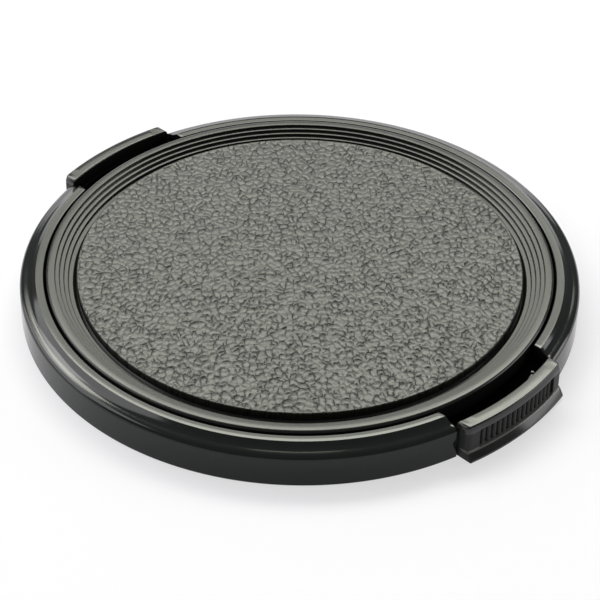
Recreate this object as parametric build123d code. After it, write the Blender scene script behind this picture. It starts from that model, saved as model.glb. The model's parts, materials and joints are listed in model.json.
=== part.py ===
from build123d import *
import os
from math import degrees, sqrt

# Side-pinch lens cap for a filter thread, in millimetres.
# It lies face up: +Z points out of the front face, +X along the slide of the release tabs,
# and the origin is at the middle of the rim's bottom edge.

# Filter ring that the cap clips into
thread_diameter = 58.0
thread_pitch = 0.75
thread_depth = 0.41
ring_wall = 1.0
ring_clearance = 0.2

# Rim: skirt below, seat for the filter ring, flange and crest above it
skirt_wall = 0.8
skirt_edge_rounding = 0.2
seat_height = 1.9
flange_thickness = 0.85
crest_rise = 1.79
crest_width = 0.96
crest_flat = 0.53
crest_fall = 0.07
crest_rounding = 0.25
crest_flat_rounding = 1.0
crest_inner_rounding = 0.14
shoulder_drop = 0.68
shoulder_fall = 0.2
shoulder_rounding = 0.38
cove_run = 0.62
cove_radius = 1.5
rim_gap = 0.26

# Hub: the pan inside the filter ring that holds the sliders and springs
hub_clearance = 0.73
hub_setback = 0.45
hub_floor = 0.55
hub_wall = 1.0
hub_edge_rounding = 0.25

# Front plate: ledge, steps down to a trough, floor with pegs below
plate_proud = 0.22
plate_overhang = 0.2
ledge_width = 0.99
ledge_rounding = 0.28
step_count = 4
step_width = 0.478
step_drop = 0.3225
trough_width = 0.42
plate_floor = 0.6
peg_radius = 0.8
peg_length = 1.3
peg_clearance = 0.05
peg_inset = 4.0
peg_angle = 50.0
boss_wall = 0.9

# Grained face disc
disc_setback = 0.49
disc_edge_rounding = 0.15

# Release tab: finger grip with a ribbed panel over a lip
tab_width = 14.9
tab_side_clearance = 0.15
tab_travel = 1.8
tab_plate_clearance = 0.64
tab_top_depth = 1.4
tab_setback = 0.09
tab_lift = 0.12
tab_border_drop = 0.7
tab_border_bulge = 0.25
tab_end_rounding = 0.45
tab_corner_rounding = 0.6
tab_edge_rounding = 0.1
tab_inner_rounding = 0.3
lip_height = 1.18
lip_edge = 0.3
lip_reach = 0.55
lip_rounding = 0.12
panel_width = 11.8
panel_depth = 0.4
panel_slope = 0.55
rib_pitch = 0.75
rib_radius = 0.24
gate_nub_radius = 0.2
gate_nub_reach = 0.26
gate_nub_height = 0.9
gate_nub_offset = 4.2

# Slider and claw on the inner side of the tab
slide_clearance = 0.05
seat_clearance = 0.05
claw_overtravel = 0.2
claw_ridge = 0.4
claw_wall = 1.05
claw_width = 13.0
claw_setback = 0.35
slider_width = 10.0
guide_clearance = 0.15
guide_wall = 1.2
guide_length = 8.6
notch_clearance = 0.22
stop_clearance = 0.05
crossbar_width = 13.2
crossbar_length = 1.6

# Coil spring between a post on the hub and a slot in the slider
spring_diameter = 1.6
spring_wire = 0.25
spring_coils = 14
spring_end_clearance = 0.02
slot_length = 8.6
slot_clearance = 0.15
post_setback = 0.7
post_length = 1.2
post_clearance = 0.2
nose_length = 1.0
nose_clearance = 0.1
window_width = 1.2
window_inset = 1.2

# Amount by which cutters and joined pieces pass the faces they meet
overlap = 1.0

# Radii, from the thread outwards and inwards
thread_radius = thread_diameter / 2
skirt_inner_radius = thread_radius + ring_wall + ring_clearance
rim_radius = skirt_inner_radius + skirt_wall
hub_radius = thread_radius - thread_depth - hub_clearance
hub_inner_radius = hub_radius - hub_wall
plate_radius = hub_radius + plate_overhang
rim_inner_radius = plate_radius + rim_gap
crest_outer_radius = rim_inner_radius + crest_width
ledge_inner_radius = plate_radius - ledge_width
trough_outer_radius = ledge_inner_radius - step_count * step_width
disc_radius = trough_outer_radius - trough_width
tab_inner_radius = plate_radius + tab_travel + tab_plate_clearance
tab_top_radius = tab_inner_radius + tab_top_depth
grip_radius = tab_top_radius + tab_border_bulge
lip_radius = grip_radius + lip_reach
panel_radius = grip_radius - panel_depth
claw_tip_radius = thread_radius + claw_overtravel
claw_root_radius = claw_tip_radius - claw_ridge
claw_inner_radius = claw_root_radius - claw_wall
clear_radius = lip_radius + overlap

# Heights, from the rim's bottom edge upwards
hub_top = hub_setback + hub_floor
deck_height = seat_height + flange_thickness
crest_height = deck_height + crest_rise
shoulder_height = crest_height - shoulder_drop
plate_height = crest_height + plate_proud
disc_seat_height = deck_height + plate_floor
disc_height = plate_height - disc_setback
tab_height = crest_height - tab_setback
border_height = tab_height - tab_border_drop
lip_top = tab_lift + lip_height
web_low = seat_height + seat_clearance
slider_low = hub_top + slide_clearance
slider_high = deck_height - slide_clearance
spring_height = (hub_top + deck_height) / 2
above = plate_height + overlap
below = -overlap

# Half widths across the tabs
tab_half = tab_width / 2
cut_half = tab_half + tab_side_clearance
slider_half = slider_width / 2
guide_half = slider_half + guide_clearance
slot_half = spring_diameter / 2 + slot_clearance
post_half = slot_half - post_clearance
nose_radius = spring_diameter / 2 - spring_wire - nose_clearance

# Places along +X, from the claw inwards
web_inner_corner = sqrt(claw_inner_radius**2 - tab_half**2)
notch_place = web_inner_corner - tab_travel - notch_clearance
guide_end = notch_place - guide_length
crossbar_outer = guide_end - stop_clearance
crossbar_inner = crossbar_outer - crossbar_length
spring_seat = crossbar_inner + slot_length
post_outer = crossbar_inner - post_setback
post_inner = post_outer - post_length


def turned(outline):
    """Solid turned about Z from (radius, height, corner rounding) points."""
    points = [(radius, 0, height) for radius, height, _ in outline]
    roundings = [rounding for _, _, rounding in outline]
    return revolve(make_face(FilletPolyline(*points, radius=roundings, close=True)), Axis.Z)


def block(*spans):
    """Box from its (low, high) spans along X, Y and Z."""
    middle = [(low + high) / 2 for low, high in spans]
    size = [high - low for low, high in spans]
    return Pos(*middle) * Box(*size)


def centred(width):
    """Span of a width that is centred on the slide axis."""
    return (-width / 2, width / 2)


def upright(radius, low, high):
    """Cylinder about Z between two heights."""
    return Pos(0, 0, (low + high) / 2) * Cylinder(radius, high - low)


def lying(radius, start, end):
    """Cylinder along X on the spring's axis between two places."""
    return Pos((start + end) / 2, 0, spring_height) * Rot(0, 90, 0) * Cylinder(radius, end - start)


def both_sides(piece):
    """A piece on the +X side together with its half turn about Z."""
    return [piece, Rot(0, 0, 180) * piece]


def peg_places():
    """Middles of the pegs that hold the front plate: one in the centre and four around it."""
    circle = hub_inner_radius - peg_inset
    around = [Rot(0, 0, a) * Pos(circle, 0, 0)
              for a in (peg_angle, 180 - peg_angle, 180 + peg_angle, -peg_angle)]
    return [Pos(0, 0, 0)] + around


def rim_body():
    """Rim and hub in one moulding, cut through where the tabs slide."""
    body = turned([
        (0, hub_setback, 0),
        (hub_radius, hub_setback, hub_edge_rounding),
        (hub_radius, seat_height, 0),
        (skirt_inner_radius, seat_height, 0),
        (skirt_inner_radius, 0, skirt_edge_rounding),
        (rim_radius, 0, skirt_edge_rounding),
        (rim_radius, shoulder_height, shoulder_rounding),
        (crest_outer_radius + cove_run, shoulder_height + shoulder_fall, cove_radius),
        (crest_outer_radius, crest_height - crest_fall, crest_rounding),
        (rim_inner_radius + crest_flat, crest_height, crest_flat_rounding),
        (rim_inner_radius, crest_height, crest_inner_rounding),
        (rim_inner_radius, deck_height, 0),
        (hub_inner_radius, deck_height, 0),
        (hub_inner_radius, hub_top, 0),
        (0, hub_top, 0),
    ])
    tab_cut = block((notch_place, clear_radius), centred(2 * cut_half), (below, above))
    window = block((post_outer + window_inset, spring_seat - window_inset),
                   centred(window_width), (below, hub_top))
    guide_spans = [(guide_half, guide_half + guide_wall), (-guide_half - guide_wall, -guide_half)]
    guides = [block((guide_end, notch_place), span, (hub_setback, deck_height)) for span in guide_spans]
    post = block((post_inner, post_outer), centred(2 * post_half), (hub_setback, deck_height))
    nose = lying(nose_radius, post_inner, post_outer + nose_length)
    for cut in (tab_cut, window):
        body -= both_sides(cut)
    for fixed in guides + [post, nose]:
        body += both_sides(fixed)
    socket_radius = peg_radius + peg_clearance
    socket_low = deck_height - peg_length - peg_clearance
    for place in peg_places():
        body += place * upright(socket_radius + boss_wall, hub_setback, deck_height)
        body -= place * upright(socket_radius, socket_low, deck_height)
    return body


def front_plate():
    """Ledge and steps around the recess for the face disc, with pegs underneath."""
    steps = []
    for step in range(step_count + 1):
        tread = plate_height - step * step_drop
        riser = ledge_inner_radius - step * step_width
        steps.append((riser, tread, 0))
        if step < step_count:
            steps.append((riser, tread - step_drop, 0))
    plate = turned([
        (0, deck_height, 0),
        (plate_radius, deck_height, 0),
        (plate_radius, plate_height, ledge_rounding),
        *steps,
        (trough_outer_radius, disc_seat_height, 0),
        (0, disc_seat_height, 0),
    ])
    for place in peg_places():
        plate += place * upright(peg_radius, deck_height - peg_length, disc_seat_height)
    return plate


def face_disc():
    """Grained insert that sits on the front plate's floor."""
    return turned([
        (0, disc_seat_height, 0),
        (disc_radius, disc_seat_height, 0),
        (disc_radius, disc_height, disc_edge_rounding),
        (0, disc_height, 0),
    ])


def finger_grip():
    """Outer block of a tab, rounded at its ends, with a ribbed panel above its lip."""
    section = turned([
        (tab_inner_radius, tab_lift, 0),
        (grip_radius, tab_lift, 0),
        (grip_radius, border_height, 0),
        (tab_top_radius, tab_height, tab_edge_rounding),
        (tab_inner_radius, tab_height, tab_inner_rounding),
    ])
    plan = Circle(grip_radius) & Pos(clear_radius / 2, 0) * Rectangle(clear_radius, tab_width)
    plan = fillet(plan.vertices().sort_by(Axis.X)[-2:], tab_corner_rounding)
    ends = FilletPolyline(
        (0, -tab_half, tab_lift), (0, tab_half, tab_lift), (0, tab_half, tab_height), (0, -tab_half, tab_height),
        radius=[0, 0, tab_end_rounding, tab_end_rounding], close=True)
    grip = section & Pos(0, 0, tab_lift) * extrude(plan, tab_height - tab_lift)
    grip &= extrude(make_face(ends), clear_radius, dir=(1, 0, 0))

    panel = turned([
        (panel_radius, lip_top, 0),
        (clear_radius, lip_top, 0),
        (clear_radius, border_height, 0),
        (grip_radius, border_height, 0),
        (panel_radius, border_height - panel_slope, 0),
    ])
    grip -= panel & block((0, clear_radius), centred(panel_width), (below, above))
    rib = Pos(panel_radius, 0, 0) * upright(rib_radius, lip_top, border_height - panel_slope / 2)
    rib_count = int(panel_width / rib_pitch)
    rib_turn = degrees(rib_pitch / panel_radius)
    for index in range(rib_count):
        grip += Rot(0, 0, (index - (rib_count - 1) / 2) * rib_turn) * rib

    lip = turned([
        (tab_inner_radius, tab_lift, 0),
        (lip_radius, tab_lift, lip_rounding),
        (lip_radius, tab_lift + lip_edge, lip_rounding),
        (grip_radius, lip_top, 0),
        (tab_inner_radius, lip_top, 0),
    ])
    return grip + (lip & block((0, clear_radius), centred(tab_width), (below, above)))


def claw():
    """Threaded arc that hangs inside the filter ring."""
    ridge_count = int((web_low - claw_setback) / thread_pitch)
    ridges = [(claw_root_radius, claw_setback, 0)]
    for ridge in range(ridge_count):
        root = claw_setback + ridge * thread_pitch
        ridges.append((claw_tip_radius, root + thread_pitch / 2, 0))
        ridges.append((claw_root_radius, root + thread_pitch, 0))
    arc = turned([
        (claw_inner_radius, claw_setback, 0),
        *ridges,
        (claw_root_radius, slider_high, 0),
        (claw_inner_radius, slider_high, 0),
    ])
    return arc & block((0, clear_radius), centred(claw_width), (below, above))


def gate_nub():
    """Stub of the moulding gate, left on a tab's inner edge."""
    wall_place = sqrt(tab_inner_radius**2 - gate_nub_offset**2)
    tip_place = wall_place - gate_nub_reach
    low = tab_height - gate_nub_height
    tip = upright(gate_nub_radius, low, tab_height)
    bridge = block((0, gate_nub_reach + tab_top_depth / 2), centred(2 * gate_nub_radius),
                   (low, tab_height - tab_inner_rounding))
    return Pos(tip_place, gate_nub_offset, 0) * (tip + bridge)


def release_tab(with_gate_nub):
    """Finger grip, web over the filter ring, claw and slider of one tab, on the +X side."""
    web_outer_radius = tab_inner_radius + tab_top_depth / 2
    web = upright(web_outer_radius, web_low, slider_high) - upright(claw_inner_radius, web_low, slider_high)
    web &= block((0, clear_radius), centred(tab_width), (below, above))
    slider = block((crossbar_inner, claw_root_radius), centred(slider_width), (slider_low, slider_high))
    slider &= upright(claw_root_radius, below, above)
    crossbar = block((crossbar_inner, crossbar_outer), centred(crossbar_width), (slider_low, slider_high))
    slot = block((crossbar_inner - overlap, spring_seat), centred(2 * slot_half), (below, above))
    nose = lying(nose_radius, spring_seat - nose_length, spring_seat + overlap)
    tab = finger_grip() + web + claw() + slider + crossbar - slot + nose
    if with_gate_nub:
        tab += gate_nub()
    return tab


def spring():
    """Coil spring on the +X side, ground flat at its two seats."""
    start = post_outer + spring_end_clearance
    end = spring_seat - spring_end_clearance
    pitch = (end - start) / spring_coils
    helix = Helix(pitch, (spring_coils + 2) * pitch, (spring_diameter - spring_wire) / 2,
                  center=(start - pitch, 0, spring_height), direction=(1, 0, 0))
    wire = Plane(origin=helix @ 0, z_dir=helix % 0) * Circle(spring_wire / 2)
    coil = sweep(wire, path=helix, is_frenet=True)
    return coil & block((start, end), centred(spring_diameter + overlap), (below, above))


half_turn = Rot(0, 0, 180)
pieces = {
    "rim_body": rim_body(),
    "front_plate": front_plate(),
    "face_disc": face_disc(),
    "release_tab_right": release_tab(with_gate_nub=True),
    "release_tab_left": half_turn * release_tab(with_gate_nub=False),
    "spring_right": spring(),
    "spring_left": half_turn * spring(),
}

os.makedirs("parts", exist_ok=True)
for name, piece in pieces.items():
    export_step(piece, f"parts/{name}.step")
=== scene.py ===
"""Looks of a side-pinch camera lens cap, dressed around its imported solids.

Each sub-assembly is a class that holds its sizes in millimetres, models its skin with bmesh
operators and hands it over in metres, in the frame of the solids: +Z points out of the front
face, +X along the slide of the release tabs, and the origin is under the middle of the rim.
"""

import json
import logging
import math
from dataclasses import dataclass
from enum import Enum
from typing import Callable, Iterable, NamedTuple, Sequence

import bmesh
import bpy
from bmesh.types import BMEdge, BMesh, BMFace, BMVert
from mathutils import Matrix, Vector

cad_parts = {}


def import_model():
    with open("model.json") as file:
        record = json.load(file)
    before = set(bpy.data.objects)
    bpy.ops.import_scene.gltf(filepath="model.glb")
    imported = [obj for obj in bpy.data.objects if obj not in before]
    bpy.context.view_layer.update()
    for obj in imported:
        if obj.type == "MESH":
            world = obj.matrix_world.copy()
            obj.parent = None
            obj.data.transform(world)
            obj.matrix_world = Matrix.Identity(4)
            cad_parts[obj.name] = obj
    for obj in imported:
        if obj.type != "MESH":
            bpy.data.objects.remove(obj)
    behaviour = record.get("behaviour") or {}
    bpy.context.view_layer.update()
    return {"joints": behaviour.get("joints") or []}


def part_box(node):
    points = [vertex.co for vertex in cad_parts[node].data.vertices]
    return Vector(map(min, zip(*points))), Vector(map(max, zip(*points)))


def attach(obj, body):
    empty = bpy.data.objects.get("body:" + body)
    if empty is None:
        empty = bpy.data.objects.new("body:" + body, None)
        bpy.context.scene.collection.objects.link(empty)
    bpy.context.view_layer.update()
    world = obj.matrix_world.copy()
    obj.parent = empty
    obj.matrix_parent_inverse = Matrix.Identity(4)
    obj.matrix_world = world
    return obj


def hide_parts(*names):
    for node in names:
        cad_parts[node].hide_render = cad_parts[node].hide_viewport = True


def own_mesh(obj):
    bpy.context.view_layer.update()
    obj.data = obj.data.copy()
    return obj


Socket = bpy.types.NodeSocket
Colour = tuple[float, float, float]
Range = tuple[float, float]

MM = 0.001
FULL_TURN = 2.0 * math.pi
QUARTER_TURN = math.pi / 2.0
WELD = 1e-4
CLOUD_ROUGHNESS = 0.55
PLAIN_GLOSS = 0.5
WHITE = (1.0, 1.0, 1.0)
WARM_WHITE = (0.98, 1.0, 0.88)

log = logging.getLogger("lens_cap")


class Corner(NamedTuple):
    """Corner of a turned outline: its radius, height and rounding in millimetres."""

    radius: float
    height: float
    rounding: float = 0.0


class Extent(NamedTuple):
    """Lowest and highest corner of a solid, in millimetres."""

    low: Vector
    high: Vector

    @classmethod
    def of(cls, node: str) -> "Extent":
        """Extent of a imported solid."""
        return cls(*(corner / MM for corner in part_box(node)))


class Side(Enum):
    """Side of the cap that a release tab and its spring lie on."""

    RIGHT = "right"
    LEFT = "left"

    @property
    def turn(self) -> Matrix:
        """Rotation that takes a piece from the +X side to this side."""
        return Matrix.Rotation(0.0 if self is Side.RIGHT else math.pi, 4, "Z")

    def named(self, pattern: str) -> str:
        """Name of a node, body or joint on this side, from a pattern with one gap."""
        return pattern.format(self.value)


@dataclass(frozen=True)
class SlideLayout:
    """Sizes that several pieces share. The places along X follow from the spring's two ends."""

    spring_start: float
    spring_end: float
    spring_clearance: float = 0.02
    slot_length: float = 8.6
    crossbar_length: float = 1.6
    stop_clearance: float = 0.05
    guide_length: float = 8.6
    hub_top: float = 1.0
    deck_height: float = 2.75
    nose_radius: float = 0.45
    nose_length: float = 1.0
    nose_segments: int = 24
    peg_circle: float = 22.86
    peg_angle: float = 50.0

    @property
    def post_face(self) -> float:
        """Face of the hub's post that the spring pushes on."""
        return self.spring_start - self.spring_clearance

    @property
    def slot_end(self) -> float:
        """Face of the slider's slot that the spring pushes on."""
        return self.spring_end + self.spring_clearance

    @property
    def crossbar_inner(self) -> float:
        """Inner face of the slider's crossbar."""
        return self.slot_end - self.slot_length

    @property
    def crossbar_outer(self) -> float:
        """Outer face of the crossbar, which stops at the guides."""
        return self.crossbar_inner + self.crossbar_length

    @property
    def guide_start(self) -> float:
        """Inner end of the guide walls."""
        return self.crossbar_outer + self.stop_clearance

    @property
    def notch_place(self) -> float:
        """Outer end of the guide walls, where the tab's notch in the hub starts."""
        return self.guide_start + self.guide_length

    @property
    def axis_height(self) -> float:
        """Height of the spring's axis, midway between the hub's floor and the deck."""
        return (self.hub_top + self.deck_height) / 2.0

    def lying_nose(self, start: float, lap: float, rounding: float) -> BMesh:
        """Pin along X that centres an end of the spring.

        Args:
            start: Place where the pin starts.
            lap: Length that it has inside the piece that carries it.
            rounding: Rounding of its rims.

        Returns:
            The pin, on the +X side.
        """
        pin = rod(self.nose_radius, self.nose_length + lap, self.nose_segments, rounding)
        lying = Matrix.Translation((start, 0.0, self.axis_height)) @ Matrix.Rotation(QUARTER_TURN, 4, "Y")
        return placed(pin, lying)

    def peg_places(self) -> list[Vector]:
        """Middles of the pegs that hold the front plate: one in the centre and four around it.

        Returns:
            The middles, in the XY plane.
        """
        places = [Vector((0.0, 0.0, 0.0))]
        for angle in (self.peg_angle, 180.0 - self.peg_angle, 180.0 + self.peg_angle, -self.peg_angle):
            around = math.radians(angle)
            places.append(Vector((math.cos(around), math.sin(around), 0.0)) * self.peg_circle)
        return places


# Modelling steps that several pieces share


def only(kind: type, items: Iterable) -> list:
    """Items of one kind out of what an operator made."""
    return [item for item in items if isinstance(item, kind)]


def reach_of(place: Vector) -> float:
    """Distance of a place from the Z axis."""
    return math.hypot(place.x, place.y)


def middle_of(edge: BMEdge) -> Vector:
    """Middle of an edge."""
    return (edge.verts[0].co + edge.verts[1].co) / 2.0


def spread(low: float, high: float, count: int) -> list[float]:
    """Evenly spaced values from low to high, both included."""
    return [low + (high - low) * index / count for index in range(count + 1)]


def direction(azimuth: float, elevation: float) -> Vector:
    """Unit vector towards an azimuth and elevation in degrees, where azimuth 0 is towards -Y."""
    around, up = math.radians(azimuth), math.radians(elevation)
    return Vector((math.sin(around) * math.cos(up), -math.cos(around) * math.cos(up), math.sin(up)))


def round_off(bm: BMesh, geom: Iterable, width: float, segments: int, corners: bool = False) -> None:
    """Rounds edges, or the corners of a wire outline.

    Args:
        bm: Mesh to work on.
        geom: Edges or vertices to round.
        width: Distance from the old edge to where the rounding starts.
        segments: Number of strips across the rounding.
        corners: True to round vertices instead of edges.
    """
    bmesh.ops.bevel(
        bm, geom=list(geom), offset=width, offset_type="OFFSET", affect="VERTICES" if corners else "EDGES",
        segments=segments, profile=0.5, material=-1, clamp_overlap=False, loop_slide=True)


def draw_outline(outline: Sequence[Corner], closed: bool, segments: int = 5) -> BMesh:
    """Draws an outline as wire edges in the XZ plane, with its corners rounded.

    Args:
        outline: Corners in order.
        closed: True to join the last corner to the first.
        segments: Number of chords in each rounding.

    Returns:
        A mesh that holds only the wire.
    """
    bm = bmesh.new()
    verts = [bm.verts.new((corner.radius, 0.0, corner.height)) for corner in outline]
    ends = verts[1:] + verts[:1] if closed else verts[1:]
    for start, end in zip(verts, ends):
        bm.edges.new((start, end))
    places = [vert.co.copy() for vert in verts]
    for index, corner in enumerate(outline):
        if corner.rounding > 0.0:
            before = (places[index] - places[index - 1]).normalized()
            after = (places[(index + 1) % len(places)] - places[index]).normalized()
            run = corner.rounding * math.tan(before.angle(after) / 2.0)
            round_off(bm, [verts[index]], run, segments, corners=True)
    return bm


def spin_round(bm: BMesh, angle: float, steps: int) -> None:
    """Spins a wire outline about Z into a skin.

    Args:
        bm: Mesh that holds the wire.
        angle: Angle of the spin; a full turn closes on itself.
        steps: Number of strips around.
    """
    bmesh.ops.spin(bm, geom=bm.verts[:] + bm.edges[:], cent=(0, 0, 0), axis=(0, 0, 1), dvec=(0, 0, 0),
                   angle=angle, steps=steps, use_merge=angle >= FULL_TURN, use_duplicate=False)


def turned(outline: Sequence[Corner], steps: int) -> BMesh:
    """Turns an outline about Z into a closed skin.

    Args:
        outline: Corners in order, from axis to axis.
        steps: Number of strips around.

    Returns:
        The skin.
    """
    bm = draw_outline(outline, closed=False)
    spin_round(bm, FULL_TURN, steps)
    return welded(bm)


def welded(bm: BMesh) -> BMesh:
    """Merges coincident vertices and points the faces outwards.

    Args:
        bm: Mesh to work on.

    Returns:
        The same mesh.
    """
    bmesh.ops.remove_doubles(bm, verts=bm.verts[:], dist=WELD)
    bmesh.ops.recalc_face_normals(bm, faces=bm.faces[:])
    return bm


def end_caps(bm: BMesh) -> list[BMFace]:
    """Closes each open rim of a skin with one face.

    Args:
        bm: Skin to close.

    Returns:
        The closing faces.
    """
    rims = [edge for edge in bm.edges if edge.is_boundary]
    caps = bmesh.ops.edgeloop_fill(bm, edges=rims)["faces"]
    bmesh.ops.recalc_face_normals(bm, faces=bm.faces[:])
    return caps


def half_ring(outline: Sequence[Corner], cut_half: float, steps: int) -> tuple[BMesh, list[BMFace]]:
    """Turns an outline on the +Y side, between two flat ends at a set distance from the X axis.

    Args:
        outline: Corners of the closed section.
        cut_half: Distance of the flat ends from the X axis.
        steps: Number of strips around.

    Returns:
        The skin, and its two end faces.
    """
    bm = draw_outline(outline, closed=True)
    spin_round(bm, math.pi, steps)
    for vert in bm.verts:
        radius = reach_of(vert.co)
        inset = math.asin(cut_half / radius)
        share = math.atan2(max(vert.co.y, 0.0), vert.co.x) / math.pi
        angle = inset + (math.pi - 2.0 * inset) * share
        vert.co.x = radius * math.cos(angle)
        vert.co.y = radius * math.sin(angle)
    return bm, end_caps(bm)


def bent_bar(outline: Sequence[Corner], stations: Sequence[float]) -> tuple[BMesh, list[BMFace]]:
    """Draws an outline out along Y and bends it round the Z axis, with flat ends.

    Args:
        outline: Corners of the closed section.
        stations: Places along Y of the sections, in order.

    Returns:
        The skin, and its two end faces.
    """
    bm = draw_outline(outline, closed=True)
    bmesh.ops.translate(bm, verts=bm.verts[:], vec=(0.0, stations[0], 0.0))
    edges = bm.edges[:]
    for before, after in zip(stations, stations[1:]):
        made = bmesh.ops.extrude_edge_only(bm, edges=edges)["geom"]
        edges = only(BMEdge, made)
        bmesh.ops.translate(bm, verts=only(BMVert, made), vec=(0.0, after - before, 0.0))
    for vert in bm.verts:
        vert.co.x = math.sqrt(vert.co.x**2 - vert.co.y**2)
    return bm, end_caps(bm)


def raise_faces(bm: BMesh, rise: float) -> None:
    """Raises all flat faces of a mesh into blocks."""
    made = bmesh.ops.extrude_face_region(bm, geom=bm.faces[:])["geom"]
    bmesh.ops.translate(bm, verts=only(BMVert, made), vec=(0.0, 0.0, rise))


def slab(points: Sequence[tuple[float, float]], low: float, high: float) -> BMesh:
    """Raises a flat outline into a closed block between two heights.

    Args:
        points: Corners of the outline in the XY plane.
        low: Height of the lower face.
        high: Height of the upper face.

    Returns:
        The block.
    """
    bm = bmesh.new()
    bm.faces.new([bm.verts.new((x, y, low)) for x, y in points])
    raise_faces(bm, high - low)
    return welded(bm)


def box(low: Sequence[float], high: Sequence[float], rounding: float) -> BMesh:
    """Block between two corners, with its edges rounded.

    Args:
        low: Lowest corner.
        high: Highest corner.
        rounding: Rounding of the edges.

    Returns:
        The block.
    """
    bm = bmesh.new()
    bmesh.ops.create_cube(bm, size=1.0)
    bmesh.ops.scale(bm, verts=bm.verts[:], vec=Vector(high) - Vector(low))
    bmesh.ops.translate(bm, verts=bm.verts[:], vec=(Vector(low) + Vector(high)) / 2.0)
    round_off(bm, bm.edges[:], rounding, segments=2)
    return bm


def rod(radius: float, length: float, segments: int, rounding: float) -> BMesh:
    """Upright rod from the origin up, with its two rims rounded.

    Args:
        radius: Radius of the rod.
        length: Length of the rod.
        segments: Number of strips around.
        rounding: Rounding of the rims.

    Returns:
        The rod.
    """
    bm = bmesh.new()
    bmesh.ops.create_cone(bm, cap_ends=True, segments=segments, radius1=radius, radius2=radius,
                          depth=length)
    bmesh.ops.translate(bm, verts=bm.verts[:], vec=(0.0, 0.0, length / 2.0))
    rims = [edge for edge in bm.edges if abs(edge.verts[0].co.z - edge.verts[1].co.z) < WELD]
    round_off(bm, rims, rounding, segments=3)
    return bm


def placed(bm: BMesh, matrix: Matrix) -> BMesh:
    """Moves a whole mesh and returns it."""
    bmesh.ops.transform(bm, matrix=matrix, verts=bm.verts[:])
    return bm


def sharp_edges(bm: BMesh, degrees: float, wanted: Callable[[BMEdge], bool] | None = None) -> list[BMEdge]:
    """Edges that fold by more than an angle.

    Args:
        bm: Mesh to search.
        degrees: Angle of the fold.
        wanted: Test that an edge has to pass too.

    Returns:
        The edges.
    """
    limit = math.radians(degrees)
    folds = [edge for edge in bm.edges if len(edge.link_faces) == 2 and edge.calc_face_angle(0.0) > limit]
    return [edge for edge in folds if wanted is None or wanted(edge)]


def mesh_of(bm: BMesh, name: str) -> bpy.types.Mesh:
    """Turns a bmesh into a mesh.

    Args:
        bm: Skin to store; it is freed.
        name: Name of the mesh.

    Returns:
        The mesh.
    """
    mesh = bpy.data.meshes.new(name)
    bm.to_mesh(mesh)
    bm.free()
    return mesh


def in_scene(name: str, data: bpy.types.ID) -> bpy.types.Object:
    """Adds an object to the scene.

    Args:
        name: Name of the object.
        data: Its mesh, light or camera.

    Returns:
        The object.
    """
    made = bpy.data.objects.new(name, data)
    bpy.context.scene.collection.objects.link(made)
    return made


def applied(carrier: bpy.types.Object) -> BMesh:
    """Takes the skin of an object after its modifiers.

    Args:
        carrier: Object with modifiers; it is removed.

    Returns:
        The skin.
    """
    graph = bpy.context.evaluated_depsgraph_get()
    mesh = bpy.data.meshes.new_from_object(carrier.evaluated_get(graph))
    bm = bmesh.new()
    bm.from_mesh(mesh)
    for used in (mesh, carrier.data):
        bpy.data.meshes.remove(used)
    return bm


def fused(shells: Sequence[BMesh]) -> BMesh:
    """Unites closed shells into one skin with nothing inside.

    Args:
        shells: Closed shells that overlap; they are freed.

    Returns:
        The united skin.
    """
    bench = bpy.data.collections.new("bench")
    bpy.context.scene.collection.children.link(bench)
    first, *rest = [mesh_of(bm, "shell") for bm in shells]
    carrier = in_scene("shell", first)
    for mesh in rest:
        bench.objects.link(bpy.data.objects.new("shell", mesh))
    union = carrier.modifiers.new("union", "BOOLEAN")
    union.operation = "UNION"
    union.solver = "EXACT"
    union.operand_type = "COLLECTION"
    union.collection = bench
    skin = applied(carrier)
    for mesh in rest:
        bpy.data.meshes.remove(mesh)
    bpy.data.collections.remove(bench)
    return skin


@dataclass(frozen=True)
class Shading:
    """How a skin is shaded: folds above an angle stay crisp, flats stay flat beside roundings."""

    crisp_degrees: float = 40.0
    flat_beside_roundings: bool = True
    flat_weight: int = 100

    def hand_over(self, bm: BMesh, name: str, material: bpy.types.Material) -> bpy.types.Object:
        """Makes the finished object of a skin.

        Args:
            bm: Skin in millimetres; it is freed.
            name: Name of the piece.
            material: Its finish.

        Returns:
            The object, at the origin and in metres.
        """
        bmesh.ops.scale(bm, verts=bm.verts[:], vec=(MM, MM, MM))
        for face in bm.faces:
            face.smooth = True
        for edge in sharp_edges(bm, self.crisp_degrees):
            edge.smooth = False
        piece = in_scene(name, mesh_of(bm, name))
        piece.data.materials.append(material)
        if self.flat_beside_roundings:
            weighted = piece.modifiers.new("flats", "WEIGHTED_NORMAL")
            weighted.keep_sharp = True
            weighted.weight = self.flat_weight
        return piece


MOULDED_SHADING = Shading()
FINE_SHADING = Shading(crisp_degrees=60.0, flat_beside_roundings=False)


def registered(piece: bpy.types.Object, body: str, node: str) -> bpy.types.Object:
    """Ties a finished piece to its body and hides the solid that it stands for.

    Args:
        piece: Finished object.
        body: Body that it moves with.
        node: Solid that it stands for.

    Returns:
        The same object.
    """
    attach(piece, body)
    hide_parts(node)
    log.info("%s: %d faces, for %s", piece.name, len(piece.data.polygons), node)
    return piece


# Finishes


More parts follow.
